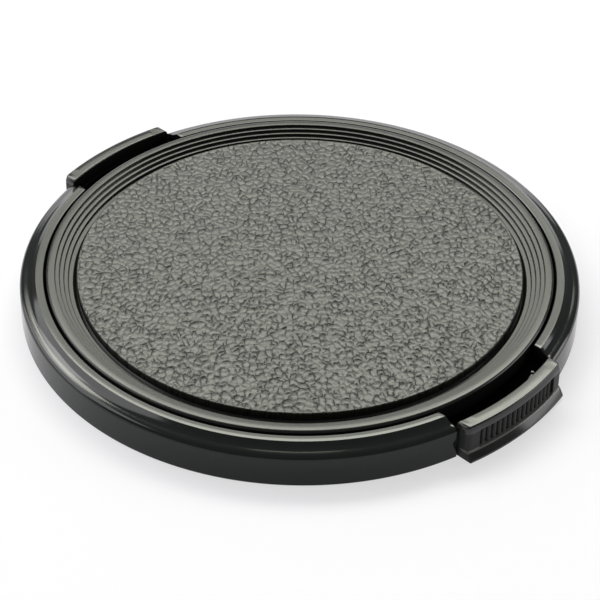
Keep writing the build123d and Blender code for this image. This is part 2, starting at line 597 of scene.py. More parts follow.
class NodeBoard:
    """A node tree with short calls to add and join nodes."""

    def __init__(self, tree: bpy.types.NodeTree) -> None:
        """Takes the tree to work on."""
        self.tree = tree

    def feed(self, target: Socket, value: object) -> None:
        """Joins an output to an input, or sets the input to a fixed value.

        Args:
            target: Input of a node.
            value: Output of another node, or a fixed value.
        """
        if isinstance(value, Socket):
            self.tree.links.new(value, target)
        else:
            target.default_value = value

    def add(self, kind: str, **inputs: object) -> bpy.types.Node:
        """Adds a node and feeds its inputs.

        Args:
            kind: Type of the node.
            inputs: Outputs or fixed values by the name of the input, with underscores for spaces.

        Returns:
            The node.
        """
        node = self.tree.nodes.new(kind)
        for name, value in inputs.items():
            self.feed(node.inputs[name.replace("_", " ")], value)
        return node

    def maths(self, kind: str, operation: str, *values: object) -> Socket:
        """Result of a node that works on numbers or on vectors.

        Args:
            kind: Type of the node.
            operation: Operation that it does.
            values: Outputs or fixed values, in order.

        Returns:
            The node's output.
        """
        node = self.tree.nodes.new(kind)
        node.operation = operation
        for target, value in zip(node.inputs, values):
            self.feed(target, value)
        return next(output for output in node.outputs if output.enabled)

    def number(self, operation: str, *values: object) -> Socket:
        """Result of an operation on numbers."""
        return self.maths("ShaderNodeMath", operation, *values)

    def vector(self, operation: str, *values: object) -> Socket:
        """Result of an operation on vectors."""
        return self.maths("ShaderNodeVectorMath", operation, *values)

    def both(self, *shares: Socket) -> Socket:
        """Share of a surface that lies in all of several zones."""
        first, *rest = shares
        return self.number("MULTIPLY", first, self.both(*rest)) if rest else first

    def clouds(self, place: Socket, size: float, detail: float) -> bpy.types.Node:
        """Noise with features of a size in millimetres, and an amount of finer detail."""
        return self.add("ShaderNodeTexNoise", Vector=place, Scale=1.0 / size, Detail=detail,
                        Roughness=CLOUD_ROUGHNESS)

    def wander(self, place: Socket, size: float, reach: float) -> Socket:
        """Moves a place about in its plane by noise.

        Args:
            place: Place in millimetres.
            size: Size of the noise's features.
            reach: Farthest that it moves.

        Returns:
            The moved place.
        """
        colour = self.clouds(place, size, detail=1.0).outputs["Color"]
        centred = self.vector("SUBTRACT", colour, (0.5, 0.5, 0.5))
        return self.vector("MULTIPLY_ADD", centred, (2.0 * reach, 2.0 * reach, 0.0), place)

    def ranged(self, value: Socket, source: Range, target: Range = (0.0, 1.0)) -> Socket:
        """Maps a value from one range to another, without passing the ends.

        Args:
            value: Value to map.
            source: Range that it comes in.
            target: Range that it is mapped to.

        Returns:
            The mapped value.
        """
        node = self.add("ShaderNodeMapRange", Value=value, From_Min=source[0], From_Max=source[1],
                        To_Min=target[0], To_Max=target[1])
        return node.outputs["Result"]

    def beyond(self, value: Socket, edge: float, fade: float) -> Socket:
        """Share that rises to 1 where a value reaches an edge."""
        return self.ranged(value, (edge - fade, edge))

    def short_of(self, value: Socket, edge: float, fade: float) -> Socket:
        """Share that falls to 0 where a value reaches an edge."""
        return self.ranged(value, (edge - fade, edge), (1.0, 0.0))


class AxisPlace(NamedTuple):
    """Outputs that place a surface: its reach from the Z axis, its distance from the X axis, its height."""

    reach: Socket
    across: Socket
    height: Socket


class MaterialBoard(NodeBoard):
    """Node tree of one material, with its principled shader."""

    def __init__(self, name: str) -> None:
        """Starts a material that holds only its output and the shader.

        Args:
            name: Name of the material.
        """
        self.material = bpy.data.materials.new(name)
        self.material.use_nodes = True
        super().__init__(self.material.node_tree)
        self.shader = self.tree.nodes["Principled BSDF"]

    def place(self) -> Socket:
        """Object coordinates of the surface, in millimetres."""
        metres = self.add("ShaderNodeTexCoord").outputs["Object"]
        return self.vector("MULTIPLY", metres, (1.0 / MM, 1.0 / MM, 1.0 / MM))

    def about_axis(self, place: Socket) -> AxisPlace:
        """Splits a place into what zones are told by.

        Args:
            place: Place in millimetres.

        Returns:
            Its reach, its distance across and its height.
        """
        reach = self.vector("LENGTH", self.vector("MULTIPLY", place, (1.0, 1.0, 0.0)))
        split = self.add("ShaderNodeSeparateXYZ", Vector=place).outputs
        return AxisPlace(reach, self.number("ABSOLUTE", split["Y"]), split["Z"])

    def blend(self, share: Socket, low: Colour | Socket, high: Colour | Socket) -> Socket:
        """Mixes two colours.

        Args:
            share: Share of the second colour.
            low: First colour.
            high: Second colour.

        Returns:
            The mixed colour.
        """
        node = self.add("ShaderNodeMix")
        node.data_type = "RGBA"
        targets = [socket for socket in node.inputs if socket.type == "RGBA"]
        for target, colour in zip(targets, (low, high)):
            self.feed(target, (*colour, 1.0) if isinstance(colour, tuple) else colour)
        self.feed(node.inputs["Factor"], share)
        return next(socket for socket in node.outputs if socket.type == "RGBA")

    def relief(self, *layers: tuple[Socket, float]) -> None:
        """Lays bumps over each other.

        Args:
            layers: Heights from 0 to 1, each with its depth in millimetres.
        """
        normal = None
        for height, depth in layers:
            node = self.add("ShaderNodeBump", Height=height, Distance=depth * MM)
            if normal is not None:
                self.feed(node.inputs["Normal"], normal)
            normal = node.outputs["Normal"]
        self.feed(self.shader.inputs["Normal"], normal)

    def look(self, colour: object, roughness: object, gloss: object) -> None:
        """Feeds the shader with outputs or fixed values.

        Args:
            colour: Colour of the surface.
            roughness: Its roughness.
            gloss: Strength of its gloss.
        """
        looks = {"Base Color": colour, "Roughness": roughness, "Specular IOR Level": gloss}
        for name, value in looks.items():
            self.feed(self.shader.inputs[name], value)


class GrainNodes(NamedTuple):
    """Outputs of a grain's recipe: height from 0 in a crease to 1 on a top, and share of a crease line."""

    height: Socket
    line: Socket


@dataclass(frozen=True)
class PebbleGrain:
    """Recipe of a pebbled leather grain in millimetres, drawn by the same nodes on mesh and finish."""

    lie_degrees: float = 43.9
    stretch: Range = (1.2, 0.93)
    pebble_size: float = 0.87
    pebble_spread: float = 1.0
    dome_width: float = 0.32
    dome_power: float = 2.0
    line_width: float = 0.12
    drift_size: float = 2.6
    drift_reach: float = 0.4
    wobble_size: float = 0.45
    wobble_reach: float = 0.24
    lump_size: float = 0.38
    lump_share: float = 0.34
    patch_size: float = 1.0
    patch_weakest: float = 0.3
    patch_range: Range = (0.38, 0.58)
    lump_range: Range = (0.25, 0.75)

    def draw(self, board: NodeBoard, place: Socket) -> GrainNodes:
        """Draws the recipe into a tree.

        Args:
            board: Tree to draw in.
            place: Place in millimetres.

        Returns:
            The height and the crease lines.
        """
        lying = board.add("ShaderNodeVectorRotate", Vector=place, Angle=-math.radians(self.lie_degrees))
        place = board.vector("MULTIPLY", lying.outputs["Vector"], (*self.stretch, 1.0))
        drifted = board.wander(place, self.drift_size, self.drift_reach)
        moved = board.wander(drifted, self.wobble_size, self.wobble_reach)
        cells = board.add("ShaderNodeTexVoronoi")
        cells.voronoi_dimensions = "2D"
        cells.feature = "DISTANCE_TO_EDGE"
        settings = {"Vector": moved, "Scale": 1.0 / self.pebble_size, "Randomness": self.pebble_spread}
        for name, value in settings.items():
            board.feed(cells.inputs[name], value)
        fall, line = [board.ranged(cells.outputs["Distance"], (0.0, width / self.pebble_size), (1.0, 0.0))
                      for width in (self.dome_width, self.line_width)]
        patches = board.clouds(place, self.patch_size, detail=1.0).outputs["Fac"]
        strength = board.ranged(patches, self.patch_range, (self.patch_weakest, 1.0))
        crease = board.both(board.number("POWER", fall, self.dome_power), strength)
        lumps = board.ranged(board.clouds(place, self.lump_size, detail=2.0).outputs["Fac"], self.lump_range)
        dome = board.number("MULTIPLY", board.number("SUBTRACT", 1.0, crease), 1.0 - self.lump_share)
        height = board.number("MULTIPLY_ADD", lumps, self.lump_share, dome)
        return GrainNodes(height, board.both(line, strength))

    def press(self, bm: BMesh, depth: float, mask: str) -> BMesh:
        """Presses the grain down into a skin.

        Args:
            bm: Skin in millimetres; it is freed.
            depth: Depth of the deepest crease.
            mask: Name of the vertex layer that holds how much of the grain a vertex gets.

        Returns:
            The pressed skin.
        """
        tree = bpy.data.node_groups.new("press", "GeometryNodeTree")
        for end in ("INPUT", "OUTPUT"):
            tree.interface.new_socket("Geometry", in_out=end, socket_type="NodeSocketGeometry")
        board = NodeBoard(tree)
        skin = board.add("NodeGroupInput").outputs["Geometry"]
        place = board.add("GeometryNodeInputPosition").outputs["Position"]
        share = board.add("GeometryNodeInputNamedAttribute", Name=mask).outputs["Attribute"]
        below_top = board.number("SUBTRACT", self.draw(board, place).height, 1.0)
        drop = board.both(board.number("MULTIPLY", below_top, depth), share)
        offset = board.add("ShaderNodeCombineXYZ", Z=drop).outputs["Vector"]
        moved = board.add("GeometryNodeSetPosition", Geometry=skin, Offset=offset)
        board.add("NodeGroupOutput", Geometry=moved.outputs["Geometry"])
        carrier = in_scene("carrier", mesh_of(bm, "carrier"))
        carrier.modifiers.new("press", "NODES").node_group = tree
        pressed = applied(carrier)
        bpy.data.node_groups.remove(tree)
        return pressed


@dataclass(frozen=True)
class MouldedPlastic:
    """Black moulded plastic with a faint cloudy gloss and a fine mould texture."""

    name: str
    dark: Colour
    light: Colour
    smoothest: float
    roughest: float
    cloud_size: float = 5.0
    cloud_range: Range = (0.3, 0.7)
    texture_size: float = 0.12
    texture_depth: float = 0.0008
    wave_size: float = 2.4
    wave_depth: float = 0.0025
    gloss_level: float = PLAIN_GLOSS

    def material(self) -> bpy.types.Material:
        """Builds the node material.

        Returns:
            The material.
        """
        board = MaterialBoard(self.name)
        place = board.place()
        cloud = board.clouds(place, self.cloud_size, detail=3.0).outputs["Fac"]
        wave = board.clouds(place, self.wave_size, detail=1.0).outputs["Fac"]
        texture = board.clouds(place, self.texture_size, detail=2.0).outputs["Fac"]
        roughness = board.ranged(cloud, self.cloud_range, (self.smoothest, self.roughest))
        self.dress(board, board.about_axis(place), board.blend(cloud, self.dark, self.light), roughness)
        board.relief((wave, self.wave_depth), (texture, self.texture_depth))
        return board.material

    def dress(self, board: MaterialBoard, at: AxisPlace, colour: Socket, roughness: Socket) -> None:
        """Gives the shader the colour, roughness and gloss, the same all over."""
        board.look(colour, roughness, self.gloss_level)


@dataclass(frozen=True)
class RimPlastic(MouldedPlastic):
    """Moulded plastic of the rim: less glossy on the skirt's outer wall."""

    wall_radius: float = 30.95
    wall_height: float = 3.7
    wall_level: float = 0.27
    fade: float = 0.2

    def dress(self, board: MaterialBoard, at: AxisPlace, colour: Socket, roughness: Socket) -> None:
        """Gives the shader the colour and roughness, with a lower gloss on the wall.

        Args:
            board: Material to work on.
            at: Place of the surface.
            colour: Colour of the plastic.
            roughness: Its roughness.
        """
        outside = board.beyond(at.reach, self.wall_radius, self.fade)
        wall = board.both(outside, board.short_of(at.height, self.wall_height, self.fade))
        board.look(colour, roughness, board.ranged(wall, (0.0, 1.0), (self.gloss_level, self.wall_level)))


@dataclass(frozen=True)
class TabPlastic(MouldedPlastic):
    """Moulded plastic of a tab: dull round its ribs, at its ends and in the well, with a painted highlight
    along the lip's upper edge.
    """

    well_radius: float = 30.45
    well_height: float = 3.7
    # Near-black colour painted into the well as shade.
    well_colour: Colour = (0.002, 0.002, 0.002)
    panel_radius: float = 31.3
    panel_low: float = 1.45
    end_half: float = 7.3
    # Height and half width of the band painted pale as a highlight along the lip's upper edge.
    worn_height: float = 1.27
    worn_half: float = 0.16
    # Pale colour of the painted highlight on the lip.
    worn_colour: Colour = (0.16, 0.16, 0.147)
    fade: float = 0.15
    dull_roughness: float = 0.5
    dull_level: float = 0.3

    def dress(self, board: MaterialBoard, at: AxisPlace, colour: Socket, roughness: Socket) -> None:
        """Gives the shader the colour and roughness, changed in the dull places, with painted shade in the
        well and a painted highlight on the lip.

        Args:
            board: Material to work on.
            at: Place of the surface.
            colour: Colour of the plastic.
            roughness: Its roughness.
        """
        under = board.short_of(at.height, self.well_height, self.fade)
        well = board.both(board.short_of(at.reach, self.well_radius, self.fade), under)
        end = board.both(board.beyond(at.across, self.end_half, self.fade), under)
        outside = board.beyond(at.reach, self.panel_radius, self.fade)
        ribbed = board.both(outside, board.beyond(at.height, self.panel_low, self.fade), under)
        # Band along the lip's upper edge that gets a painted highlight and keeps its gloss.
        from_lip_highlight = board.number("ABSOLUTE", board.number("SUBTRACT", at.height, self.worn_height))
        lip_highlight = board.both(outside, board.short_of(from_lip_highlight, self.worn_half, self.worn_half / 2.0))
        dull = board.number("SUBTRACT", board.number("MAXIMUM", ribbed, end), lip_highlight)
        level = board.ranged(dull, (0.0, 1.0), (self.gloss_level, self.dull_level))
        # Gloss is taken away in the well as well, as painted shade.
        gloss = board.both(level, board.number("SUBTRACT", 1.0, well))
        dulled = board.number("MULTIPLY", board.number("MAXIMUM", dull, well), self.dull_roughness)
        # The well's near-black colour is painted shade; the pale band on the lip is a painted highlight.
        colour = board.blend(lip_highlight, board.blend(well, colour, self.well_colour), self.worn_colour)
        board.look(colour, board.number("MAXIMUM", roughness, dulled), gloss)


@dataclass(frozen=True)
class LeatherGrain:
    """Plastic embossed with a pebbled leather grain: satin tops, with painted shade in the creases, as a
    darker colour and as less gloss on the crease lines.
    """

    name: str
    pattern: PebbleGrain
    # Darker colour painted into the creases as shade.
    crease: Colour
    top: Colour
    crease_roughness: float
    top_roughness: float
    top_range: Range = (0.15, 0.7)
    top_level: float = 0.52
    # Gloss on the crease lines, turned down as painted shade.
    line_level: float = 0.06
    edge_depth: float = 0.04
    pore_size: float = 0.14
    pore_depth: float = 0.006

    def material(self) -> bpy.types.Material:
        """Builds the node material.

        Returns:
            The material.
        """
        board = MaterialBoard(self.name)
        place = board.place()
        grain = self.pattern.draw(board, place)
        share = board.ranged(grain.height, self.top_range)
        pores = board.clouds(place, self.pore_size, detail=2.0).outputs["Fac"]
        # Colour darkens into the creases and gloss drops on the crease lines, both as painted shade.
        board.look(board.blend(share, self.crease, self.top),
                   board.ranged(share, (0.0, 1.0), (self.crease_roughness, self.top_roughness)),
                   board.ranged(grain.line, (0.0, 1.0), (self.top_level, self.line_level)))
        board.relief((grain.height, self.edge_depth), (pores, self.pore_depth))
        return board.material


@dataclass(frozen=True)
class DrawnWire:
    """Drawn spring wire with fine scratches."""

    name: str
    dark: Colour
    light: Colour
    scratch_size: float = 0.05
    scratch_range: Range = (0.3, 0.7)
    roughness_range: Range = (0.22, 0.4)

    def material(self) -> bpy.types.Material:
        """Builds the node material.

        Returns:
            The material.
        """
        board = MaterialBoard(self.name)
        scratches = board.clouds(board.place(), self.scratch_size, detail=4.0).outputs["Fac"]
        board.feed(board.shader.inputs["Metallic"], 1.0)
        board.look(board.blend(scratches, self.dark, self.light),
                   board.ranged(scratches, self.scratch_range, self.roughness_range), PLAIN_GLOSS)
        return board.material


@dataclass(frozen=True)
class PaleFloor:
    """Matt white studio floor that looks white to the camera and in gloss, and keeps a soft shadow."""

    name: str
    colour: Colour
    glow: float

    def material(self) -> bpy.types.Material:
        """Builds the node material.

        Returns:
            The material.
        """
        board = MaterialBoard(self.name)
        board.look((*self.colour, 1.0), roughness=1.0, gloss=0.0)
        path = board.add("ShaderNodeLightPath").outputs
        seen = board.number("MAXIMUM", path["Is Camera Ray"], path["Is Glossy Ray"])
        seen = board.number("MAXIMUM", seen, path["Is Transmission Ray"])
        white = board.add("ShaderNodeEmission", Color=(*WHITE, 1.0), Strength=1.0)
        mixed = board.add("ShaderNodeMixShader", Fac=board.number("MULTIPLY", seen, self.glow))
        board.feed(mixed.inputs[1], board.shader.outputs["BSDF"])
        board.feed(mixed.inputs[2], white.outputs["Emission"])
        board.feed(board.tree.nodes["Material Output"].inputs["Surface"], mixed.outputs["Shader"])
        return board.material


BODY_PLASTIC = RimPlastic(
    "body_plastic", (0.0075, 0.0094, 0.009), (0.0105, 0.0124, 0.0118), 0.09, 0.13, texture_depth=0.0004)
PLATE_PLASTIC = MouldedPlastic(
    "plate_plastic", (0.011, 0.011, 0.0105), (0.015, 0.015, 0.014), 0.19, 0.26, gloss_level=0.43)
TAB_PLASTIC = TabPlastic("tab_plastic", (0.011, 0.011, 0.0105), (0.015, 0.015, 0.014), 0.13, 0.19)
# The darker leather colour is the painted shade of the creases.
GRAINED_PLASTIC = LeatherGrain(
    "grained_plastic", PebbleGrain(), (0.008, 0.0083, 0.0066), (0.017, 0.0176, 0.0142), 0.42, 0.29)
SPRING_STEEL = DrawnWire("spring_steel", (0.42, 0.42, 0.43), (0.68, 0.68, 0.69))
FLOOR_WHITE = PaleFloor("floor_white", (0.94, 0.92, 1.0), 0.6)


# Pieces of the cap


@dataclass
class RimBody:
    """Rim, flange, skirt and hub in one moulding, open where the tabs slide."""

    layout: SlideLayout
    rim_radius: float
    crest_height: float
    skirt_inner_radius: float = 30.2
    skirt_edge_rounding: float = 0.2
    seat_height: float = 1.9
    rim_inner_radius: float = 28.32
    crest_outer_radius: float = 29.24
    crest_inner_rounding: float = 0.14
    crest_rounding: float = 0.06
    shoulder_height: float = 3.86
    shoulder_rounding: float = 0.6
    shoulder_fall: float = 0.2
    cove_run: float = 0.62
    cove_radius: float = 1.5
    groove_depth: float = 0.45
    hub_radius: float = 27.86
    hub_inner_radius: float = 26.86
    hub_low: float = 0.45
    hub_edge_rounding: float = 0.25
    cut_half: float = 7.6
    cut_rounding: float = 0.06
    guide_half: float = 5.15
    guide_wall: float = 1.2
    post_length: float = 1.2
    post_half: float = 0.75
    window_half: float = 0.6
    window_inset: float = 1.2
    boss_radius: float = 1.75
    boss_strips: int = 32
    socket_radius: float = 0.85
    socket_low: float = 1.4
    joint_lap: float = 0.4
    small_rounding: float = 0.08
    strips: int = 168

    def section(self) -> list[Corner]:
        """Section through hub wall, flange, skirt and crest.

        Returns:
            The corners of the closed section.
        """
        deck = self.layout.deck_height
        cove_place = self.crest_outer_radius + self.cove_run
        gap_middle = (self.rim_inner_radius + self.hub_radius) / 2.0
        return [
            Corner(self.hub_inner_radius, self.hub_low),
            Corner(self.hub_radius, self.hub_low, self.hub_edge_rounding),
            Corner(self.hub_radius, self.seat_height, self.small_rounding),
            Corner(self.skirt_inner_radius, self.seat_height, self.small_rounding),
            Corner(self.skirt_inner_radius, 0.0, self.skirt_edge_rounding),
            Corner(self.rim_radius, 0.0, self.skirt_edge_rounding),
            Corner(self.rim_radius, self.shoulder_height, self.shoulder_rounding),
            Corner(cove_place, self.shoulder_height + self.shoulder_fall, self.cove_radius),
            Corner(self.crest_outer_radius, self.crest_height, self.crest_rounding),
            Corner(self.rim_inner_radius, self.crest_height, self.crest_inner_rounding),
            Corner(self.rim_inner_radius, deck),
            Corner(gap_middle, deck - self.groove_depth),
            Corner(self.hub_radius, deck),
            Corner(self.hub_inner_radius, deck),
        ]

    def rim_halves(self) -> list[BMesh]:
        """The two halves of the rim, with rounded edges where the tabs' cuts end them.

        Returns:
            Two closed shells.
        """
        halves = []
        for side in Side:
            bm, caps = half_ring(self.section(), self.cut_half, self.strips)
            round_off(bm, [edge for cap in caps for edge in cap.edges], self.cut_rounding, segments=4)
            halves.append(placed(bm, side.turn))
        return halves

    def pan_floor(self) -> BMesh:
        """Floor of the hub, notched for the tabs and pierced under the springs.

        Returns:
            A closed shell.
        """
        bm = bmesh.new()
        bmesh.ops.create_circle(bm, cap_ends=True, radius=self.hub_inner_radius + self.joint_lap,
                                segments=2 * self.strips)
        along, across = Vector((1.0, 0.0, 0.0)), Vector((0.0, 1.0, 0.0))
        cuts = [along * place for place in (self.layout.notch_place, *self.window_ends())]
        cuts += [across * place for place in (self.cut_half, self.window_half)]
        for cut in cuts:
            for place in (cut, -cut):
                bmesh.ops.bisect_plane(bm, geom=bm.verts[:] + bm.edges[:] + bm.faces[:], dist=WELD,
                                       plane_co=place, plane_no=cut.normalized())
        bmesh.ops.delete(bm, geom=[face for face in bm.faces if self.is_open(face)], context="FACES")
        bmesh.ops.translate(bm, verts=bm.verts[:], vec=(0.0, 0.0, self.hub_low))
        raise_faces(bm, self.layout.hub_top - self.hub_low)
        bmesh.ops.recalc_face_normals(bm, faces=bm.faces[:])
        return bm

    def window_ends(self) -> Range:
        """Places along X where the window under a spring starts and ends."""
        return self.layout.post_face + self.window_inset, self.layout.slot_end - self.window_inset

    def is_open(self, face: BMFace) -> bool:
        """Whether a face of the hub's floor lies in a tab notch or a spring window.

        Args:
            face: Face of the floor.

        Returns:
            True where the floor is open.
        """
        middle = face.calc_center_median()
        along, across = abs(middle.x), abs(middle.y)
        start, end = self.window_ends()
        in_notch = along > self.layout.notch_place and across < self.cut_half
        in_window = start < along < end and across < self.window_half
        return in_notch or in_window

    def fittings(self) -> list[BMesh]:
        """Guide walls, spring posts with their noses, and sockets for the plate's pegs.

        Returns:
            Closed shells that overlap the hub's floor.
        """
        layout = self.layout
        low, deck = layout.hub_top - self.joint_lap, layout.deck_height
        shells = []
        for side in Side:
            fitted = []
            for start in (self.guide_half, -self.guide_half - self.guide_wall):
                end = start + self.guide_wall
                fitted.append(box((layout.guide_start, start, low), (layout.notch_place, end, deck),
                                  self.small_rounding))
            fitted.append(box((layout.post_face - self.post_length, -self.post_half, low),
                              (layout.post_face, self.post_half, deck), self.small_rounding))
            nose_start = layout.post_face - self.joint_lap
            fitted.append(layout.lying_nose(nose_start, self.joint_lap, self.small_rounding))
            shells += [placed(bm, side.turn) for bm in fitted]
        boss = [
            Corner(0.0, low),
            Corner(self.boss_radius, low),
            Corner(self.boss_radius, deck),
            Corner(self.socket_radius, deck),
            Corner(self.socket_radius, self.socket_low),
            Corner(0.0, self.socket_low),
        ]
        for place in layout.peg_places():
            shells.append(placed(turned(boss, self.boss_strips), Matrix.Translation(place)))
        return shells

    def build(self) -> bpy.types.Object:
        """Models and dresses the rim body.

        Returns:
            The finished piece.
        """
        skin = fused([*self.rim_halves(), self.pan_floor(), *self.fittings()])
        piece = MOULDED_SHADING.hand_over(skin, "cap_rim", BODY_PLASTIC.material())
        return registered(piece, "cap_body", "rim_body")


@dataclass
class FrontPlate:
    """Ledge, steps and floor around the face disc, with pegs underneath."""

    layout: SlideLayout
    radius: float
    low: float
    height: float
    disc_radius: float
    floor_height: float
    ledge_width: float = 0.99
    ledge_rounding: float = 0.28
    ledge_inner_rounding: float = 0.09
    step_count: int = 4
    step_width: float = 0.478
    step_drop: float = 0.3225
    step_rounding: float = 0.09
    corner_rounding: float = 0.05
    groove_depth: float = 0.35
    peg_radius: float = 0.8
    peg_segments: int = 32
    joint_lap: float = 0.3
    strips: int = 336

    def section(self) -> list[Corner]:
        """Section from the axis under the floor, up the rim, over the ledge and down the steps.

        Returns:
            The corners of the section, from axis to axis.
        """
        deck = self.layout.deck_height
        corners = [
            Corner(0.0, deck),
            Corner(self.radius, deck, self.step_rounding),
            Corner(self.radius, self.height, self.ledge_rounding),
        ]
        riser, tread, rounding = self.radius - self.ledge_width, self.height, self.ledge_inner_rounding
        for _ in range(self.step_count):
            corners.append(Corner(riser, tread, rounding))
            tread -= self.step_drop
            corners.append(Corner(riser, tread, self.corner_rounding))
            riser -= self.step_width
            rounding = self.step_rounding
        corners += [
            Corner(riser, tread, rounding),
            Corner(self.disc_radius, self.floor_height - self.groove_depth),
            Corner(self.disc_radius - self.groove_depth, self.floor_height),
            Corner(0.0, self.floor_height),
        ]
        return corners

    def build(self) -> bpy.types.Object:
        """Models and dresses the front plate.

        Returns:
            The finished piece.
        """
        shells = [turned(self.section(), self.strips)]
        peg_length = self.layout.deck_height - self.low + self.joint_lap
        for place in self.layout.peg_places():
            peg = rod(self.peg_radius, peg_length, self.peg_segments, self.step_rounding)
            shells.append(placed(peg, Matrix.Translation(place + Vector((0.0, 0.0, self.low)))))
        piece = MOULDED_SHADING.hand_over(fused(shells), "stepped_plate", PLATE_PLASTIC.material())
        return registered(piece, "cap_body", "front_plate")


@dataclass
class FaceDisc:
    """Insert embossed with a pebbled leather grain."""

    radius: float
    low: float
    height: float
    edge_rounding: float = 0.15
    edge_strips: int = 3
    smooth_margin: float = 0.35
    grain_depth: float = 0.12
    mesh_lines: int = 298
    mask: str = "grain_share"

    @property
    def flat_radius(self) -> float:
        """Radius of the flat top, where the rounding of the edge starts."""
        return self.radius - self.edge_rounding

    def blank(self) -> BMesh:
        """Smooth disc with an even mesh on its top.

        Returns:
            The closed skin.
        """
        bm = bmesh.new()
        bmesh.ops.create_grid(bm, x_segments=self.mesh_lines, y_segments=self.mesh_lines, size=1.0)
        for vert in bm.verts:
            self.round_in(vert)
        edges = [edge for edge in bm.edges if edge.is_boundary]
        for turn in spread(0.0, QUARTER_TURN, self.edge_strips)[1:]:
            drop = self.edge_rounding * (1.0 - math.cos(turn))
            ring_radius = self.flat_radius + self.edge_rounding * math.sin(turn)
            edges = self.skirt_ring(bm, edges, ring_radius, self.height - drop)
        edges = self.skirt_ring(bm, edges, self.radius, self.low)
        bmesh.ops.edgeloop_fill(bm, edges=edges)
        bmesh.ops.recalc_face_normals(bm, faces=bm.faces[:])
        return bm

    def round_in(self, vert: BMVert) -> None:
        """Moves a vertex of the unit square grid to its place in the disc, with even spacing.

        Args:
            vert: Vertex to move.
        """
        x, y = vert.co.x, vert.co.y
        upright = abs(y) > abs(x)
        major, minor = (y, x) if upright else (x, y)
        angle = QUARTER_TURN / 2.0 * minor / major if abs(major) > WELD else 0.0
        along, aside = major * math.cos(angle), major * math.sin(angle)
        turned_in = Vector((aside, along, 0.0)) if upright else Vector((along, aside, 0.0))
        vert.co = turned_in * self.flat_radius + Vector((0.0, 0.0, self.height))

    def skirt_ring(self, bm: BMesh, edges: Iterable[BMEdge], radius: float, height: float) -> list[BMEdge]:
        """Extrudes the disc's rim.

        Args:
            bm: Mesh to work on.
            edges: Edges of the rim.
            radius: Radius of the new rim.
            height: Height of the new rim.

        Returns:
            The edges of the new rim.
        """
        made = bmesh.ops.extrude_edge_only(bm, edges=list(edges))["geom"]
        for vert in only(BMVert, made):
            scale = radius / reach_of(vert.co)
            vert.co = (vert.co.x * scale, vert.co.y * scale, height)
        return only(BMEdge, made)

    def build(self) -> bpy.types.Object:
        """Models and dresses the face disc, smooth in a narrow margin along its edge.

        Returns:
            The finished piece.
        """
        bm = self.blank()
        layer = bm.verts.layers.float.new(self.mask)
        for vert in bm.verts:
            inside = self.flat_radius - reach_of(vert.co)
            on_top = vert.co.z > self.height - WELD
            vert[layer] = min(max(inside / self.smooth_margin, 0.0), 1.0) if on_top else 0.0
        bm = GRAINED_PLASTIC.pattern.press(bm, self.grain_depth, self.mask)
        piece = FINE_SHADING.hand_over(bm, "grained_disc", GRAINED_PLASTIC.material())
        return registered(piece, "cap_body", "face_disc")


